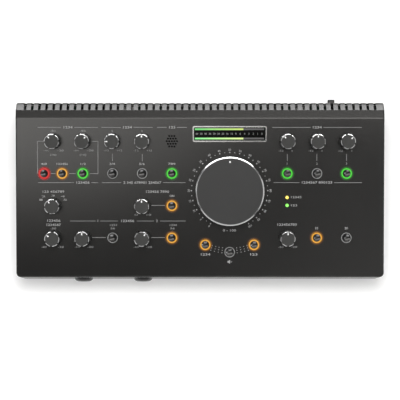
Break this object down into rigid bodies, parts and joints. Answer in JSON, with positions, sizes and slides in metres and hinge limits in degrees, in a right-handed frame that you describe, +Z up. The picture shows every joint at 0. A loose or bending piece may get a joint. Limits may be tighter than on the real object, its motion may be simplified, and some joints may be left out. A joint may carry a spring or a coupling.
{
  "type": "studio monitor controller",
  "caption": "Desktop monitor controller: a sloped steel housing with dials, lit push buttons, a large volume knob, a level meter and plug sockets.",
  "frame": {"origin": "under the middle of the part's box, on the surface that the feet stand on", "axes": "+X across the front to the right, +Y from the front to the rear sockets, +Z up"},
  "size_m": [0.333, 0.1662, 0.0895],
  "materials": {
    "painted_steel": "fine-textured satin paint",
    "zinc_steel": "zinc plated",
    "rubber": "matte",
    "circuit_board": "solder mask",
    "knob_plastic": "satin with a bright chamfer",
    "knob_metal": "anodised satin with a bright chamfer",
    "button_plastic": "gloss",
    "bright_trim": "plated",
    "smoked_window": "smoked gloss",
    "capsule_metal": "satin",
    "lamp_plastic": "clear",
    "socket_plastic": "satin",
    "socket_metal": "nickel plated"
  },
  "bodies": {
    "housing": {"base_pan": "zinc_steel", "coax_socket": "socket_metal", "control_board": "circuit_board", "foot_front_left": "rubber", "foot_front_right": "rubber", "foot_rear_left": "rubber", "foot_rear_right": "rubber", "main_board": "circuit_board", "meter_bezel": "bright_trim", "meter_window": "smoked_window", "mic_1_socket": "socket_plastic", "mic_2_socket": "socket_plastic", "optical_socket": "socket_plastic", "phones_1_socket": "socket_plastic", "phones_2_socket": "socket_plastic", "power_inlet": "socket_plastic", "power_lamp": "lamp_plastic", "rear_panel": "painted_steel", "speaker_a_jacks": "socket_plastic", "speaker_b_jacks": "socket_plastic", "speaker_c_jacks": "socket_plastic", "studio_out_jacks": "socket_plastic", "talk_lamp": "lamp_plastic", "talkback_microphone": "capsule_metal", "top_cover": "painted_steel", "two_track_1_jacks": "socket_plastic", "two_track_2_jacks": "socket_plastic", "usb_socket": "socket_metal"},
    "gain_1_knob": {"gain_1_knob": "knob_plastic"},
    "gain_2_knob": {"gain_2_knob": "knob_plastic"},
    "trim_3_knob": {"trim_3_knob": "knob_plastic"},
    "trim_4_knob": {"trim_4_knob": "knob_plastic"},
    "trim_a_knob": {"trim_a_knob": "knob_plastic"},
    "trim_b_knob": {"trim_b_knob": "knob_plastic"},
    "trim_c_knob": {"trim_c_knob": "knob_plastic"},
    "cue_source_knob": {"cue_source_knob": "knob_plastic"},
    "studio_out_knob": {"studio_out_knob": "knob_plastic"},
    "direct_monitor_knob": {"direct_monitor_knob": "knob_plastic"},
    "phones_1_knob": {"phones_1_knob": "knob_plastic"},
    "phones_2_knob": {"phones_2_knob": "knob_plastic"},
    "talkback_knob": {"talkback_knob": "knob_plastic"},
    "volume_knob": {"volume_knob": "knob_metal"},
    "phantom_button": {"phantom_button": "button_plastic"},
    "low_cut_button": {"low_cut_button": "button_plastic"},
    "channel_2_button": {"channel_2_button": "button_plastic"},
    "source_3_button": {"source_3_button": "button_plastic"},
    "source_4_button": {"source_4_button": "button_plastic"},
    "computer_button": {"computer_button": "button_plastic"},
    "speaker_a_button": {"speaker_a_button": "button_plastic"},
    "speaker_b_button": {"speaker_b_button": "button_plastic"},
    "speaker_c_button": {"speaker_c_button": "button_plastic"},
    "studio_on_button": {"studio_on_button": "button_plastic"},
    "phones_1_button": {"phones_1_button": "button_plastic"},
    "phones_2_button": {"phones_2_button": "button_plastic"},
    "talk_phones_button": {"talk_phones_button": "button_plastic"},
    "talk_studio_button": {"talk_studio_button": "button_plastic"},
    "mono_button": {"mono_button": "button_plastic"},
    "mute_button": {"mute_button": "button_plastic"},
    "dim_button": {"dim_button": "button_plastic"},
    "power_button": {"power_button": "button_plastic"}
  },
  "joints": [
    {"name": "gain_1_turn", "type": "hinge", "parent": "housing", "child": "gain_1_knob", "pos_m": [-0.13262, 0.04204, 0.06994], "axis": [0, 0.1271, -0.9919], "range_deg": [-114, 186]},
    {"name": "gain_2_turn", "type": "hinge", "parent": "housing", "child": "gain_2_knob", "pos_m": [-0.10583, 0.04204, 0.06994], "axis": [0, 0.1271, -0.9919], "range_deg": [-189, 111]},
    {"name": "trim_3_turn", "type": "hinge", "parent": "housing", "child": "trim_3_knob", "pos_m": [-0.07904, 0.04204, 0.06994], "axis": [0, 0.1271, -0.9919], "range_deg": [-60, 240]},
    {"name": "trim_4_turn", "type": "hinge", "parent": "housing", "child": "trim_4_knob", "pos_m": [-0.05225, 0.04204, 0.06994], "axis": [0, 0.1271, -0.9919], "range_deg": [-150, 150]},
    {"name": "trim_a_turn", "type": "hinge", "parent": "housing", "child": "trim_a_knob", "pos_m": [0.07872, 0.04204, 0.06994], "axis": [0, 0.1271, -0.9919], "range_deg": [-115, 185]},
    {"name": "trim_b_turn", "type": "hinge", "parent": "housing", "child": "trim_b_knob", "pos_m": [0.10551, 0.04204, 0.06994], "axis": [0, 0.1271, -0.9919], "range_deg": [-150, 150]},
    {"name": "trim_c_turn", "type": "hinge", "parent": "housing", "child": "trim_c_knob", "pos_m": [0.1323, 0.04204, 0.06994], "axis": [0, 0.1271, -0.9919], "range_deg": [-198, 102]},
    {"name": "cue_source_turn", "type": "hinge", "parent": "housing", "child": "cue_source_knob", "pos_m": [-0.13262, -0.0157, 0.06254], "axis": [0, 0.1271, -0.9919], "range_deg": [0, 70]},
    {"name": "studio_out_turn", "type": "hinge", "parent": "housing", "child": "studio_out_knob", "pos_m": [-0.05225, -0.0157, 0.06254], "axis": [0, 0.1271, -0.9919], "range_deg": [-150, 150]},
    {"name": "direct_monitor_turn", "type": "hinge", "parent": "housing", "child": "direct_monitor_knob", "pos_m": [-0.13262, -0.04456, 0.05885], "axis": [0, 0.1271, -0.9919], "range_deg": [-97, 203]},
    {"name": "phones_1_turn", "type": "hinge", "parent": "housing", "child": "phones_1_knob", "pos_m": [-0.10583, -0.04456, 0.05885], "axis": [0, 0.1271, -0.9919], "range_deg": [-150, 150]},
    {"name": "phones_2_turn", "type": "hinge", "parent": "housing", "child": "phones_2_knob", "pos_m": [-0.05225, -0.04456, 0.05885], "axis": [0, 0.1271, -0.9919], "range_deg": [-184, 116]},
    {"name": "talkback_turn", "type": "hinge", "parent": "housing", "child": "talkback_knob", "pos_m": [0.07872, -0.04456, 0.05885], "axis": [0, 0.1271, -0.9919], "range_deg": [-150, 150]},
    {"name": "volume_turn", "type": "hinge", "parent": "housing", "child": "volume_knob", "pos_m": [0.02676, -0.00226, 0.06427], "axis": [0, 0.1271, -0.9919], "range_deg": [-150, 150]},
    {"name": "phantom_press", "type": "slide", "parent": "housing", "child": "phantom_button", "axis": [0, 0.1271, -0.9919], "range_m": [0, 0.0012], "stiffness_N_per_m": 600, "springref_m": -0.001},
    {"name": "low_cut_press", "type": "slide", "parent": "housing", "child": "low_cut_button", "axis": [0, 0.1271, -0.9919], "range_m": [0, 0.0012], "stiffness_N_per_m": 600, "springref_m": -0.001},
    {"name": "channel_2_press", "type": "slide", "parent": "housing", "child": "channel_2_button", "axis": [0, 0.1271, -0.9919], "range_m": [0, 0.0012], "stiffness_N_per_m": 600, "springref_m": -0.001},
    {"name": "source_3_press", "type": "slide", "parent": "housing", "child": "source_3_button", "axis": [0, 0.1271, -0.9919], "range_m": [0, 0.0012], "stiffness_N_per_m": 600, "springref_m": -0.001},
    {"name": "source_4_press", "type": "slide", "parent": "housing", "child": "source_4_button", "axis": [0, 0.1271, -0.9919], "range_m": [0, 0.0012], "stiffness_N_per_m": 600, "springref_m": -0.001},
    {"name": "computer_press", "type": "slide", "parent": "housing", "child": "computer_button", "axis": [0, 0.1271, -0.9919], "range_m": [0, 0.0012], "stiffness_N_per_m": 600, "springref_m": -0.001},
    {"name": "speaker_a_press", "type": "slide", "parent": "housing", "child": "speaker_a_button", "axis": [0, 0.1271, -0.9919], "range_m": [0, 0.0012], "stiffness_N_per_m": 600, "springref_m": -0.001},
    {"name": "speaker_b_press", "type": "slide", "parent": "housing", "child": "speaker_b_button", "axis": [0, 0.1271, -0.9919], "range_m": [0, 0.0012], "stiffness_N_per_m": 600, "springref_m": -0.001},
    {"name": "speaker_c_press", "type": "slide", "parent": "housing", "child": "speaker_c_button", "axis": [0, 0.1271, -0.9919], "range_m": [0, 0.0012], "stiffness_N_per_m": 600, "springref_m": -0.001},
    {"name": "studio_on_press", "type": "slide", "parent": "housing", "child": "studio_on_button", "axis": [0, 0.1271, -0.9919], "range_m": [0, 0.0012], "stiffness_N_per_m": 600, "springref_m": -0.001},
    {"name": "phones_1_press", "type": "slide", "parent": "housing", "child": "phones_1_button", "axis": [0, 0.1271, -0.9919], "range_m": [0, 0.0012], "stiffness_N_per_m": 600, "springref_m": -0.001},
    {"name": "phones_2_press", "type": "slide", "parent": "housing", "child": "phones_2_button", "axis": [0, 0.1271, -0.9919], "range_m": [0, 0.0012], "stiffness_N_per_m": 600, "springref_m": -0.001},
    {"name": "talk_phones_press", "type": "slide", "parent": "housing", "child": "talk_phones_button", "axis": [0, 0.1271, -0.9919], "range_m": [0, 0.0012], "stiffness_N_per_m": 600, "springref_m": -0.001},
    {"name": "talk_studio_press", "type": "slide", "parent": "housing", "child": "talk_studio_button", "axis": [0, 0.1271, -0.9919], "range_m": [0, 0.0012], "stiffness_N_per_m": 600, "springref_m": -0.001},
    {"name": "mono_press", "type": "slide", "parent": "housing", "child": "mono_button", "axis": [0, 0.1271, -0.9919], "range_m": [0, 0.0012], "stiffness_N_per_m": 600, "springref_m": -0.001},
    {"name": "mute_press", "type": "slide", "parent": "housing", "child": "mute_button", "axis": [0, 0.1271, -0.9919], "range_m": [0, 0.0012], "stiffness_N_per_m": 600, "springref_m": -0.001},
    {"name": "dim_press", "type": "slide", "parent": "housing", "child": "dim_button", "axis": [0, 0.1271, -0.9919], "range_m": [0, 0.0012], "stiffness_N_per_m": 600, "springref_m": -0.001},
    {"name": "power_press", "type": "slide", "parent": "housing", "child": "power_button", "axis": [0, -1, 0], "range_m": [0, 0.003]}
  ]
}
